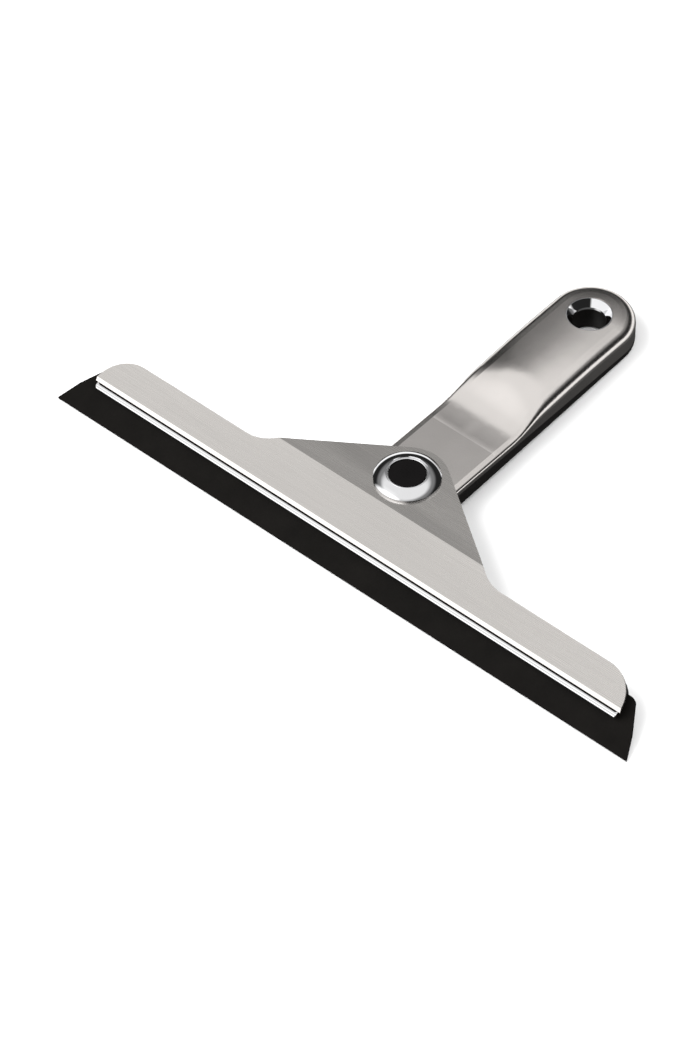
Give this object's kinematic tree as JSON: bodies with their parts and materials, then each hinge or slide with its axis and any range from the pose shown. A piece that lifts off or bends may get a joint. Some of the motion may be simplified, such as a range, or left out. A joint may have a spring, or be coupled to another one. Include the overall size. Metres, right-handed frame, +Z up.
{
  "type": "window cleaning squeegee",
  "caption": "Window squeegee: bent brushed-steel head with a long rubber blade, on a pivot at the end of a ramped satin metal handle with a hanging hole.",
  "frame": {"origin": "centre of the footprint, on the surface that the squeegee stands on", "axes": "+X along the blade, +Y from the blade towards the far end of the handle, +Z up"},
  "size_m": [0.3, 0.1801, 0.0214],
  "materials": {
    "brushed_plate": "stainless sheet, brushed along the blade",
    "polished_steel": "stainless, mirror polished",
    "inner_steel": "plain stainless fixings",
    "satin_metal": "cast, satin nickel",
    "chrome_ring": "mirror chrome",
    "black_rubber": "matt black squeegee rubber",
    "black_plastic": "black, fine matt",
    "black_gloss": "black, smooth",
    "white_nylon": "natural nylon"
  },
  "bodies": {
    "head": {"head_plate": "brushed_plate", "seal_strip": "black_rubber", "blade_channel": "polished_steel", "rubber_blade": "black_rubber", "end_plugs": "black_plastic", "plate_studs": "inner_steel", "channel_spacers": "inner_steel", "rear_clamp": "brushed_plate", "clamp_washers": "inner_steel", "clamp_nuts": "inner_steel", "pivot_bezel": "chrome_ring", "pivot_cap": "black_gloss", "pivot_screw": "inner_steel", "spring_washer": "inner_steel", "pivot_nut": "inner_steel"},
    "handle": {"friction_washer": "white_nylon", "pivot_bush": "white_nylon", "lower_washer": "white_nylon", "handle_shell": "satin_metal", "handle_base": "black_plastic", "handle_screws": "inner_steel", "pivot_cover": "black_gloss", "hole_ring": "chrome_ring", "hole_sleeve": "black_plastic"}
  },
  "joints": [
    {"name": "handle_swivel", "type": "hinge", "parent": "head", "child": "handle", "pos_m": [0, -0.04367, 0.01758], "axis": [0, 0.068, 0.9977], "range_deg": [-80, 80]}
  ]
}
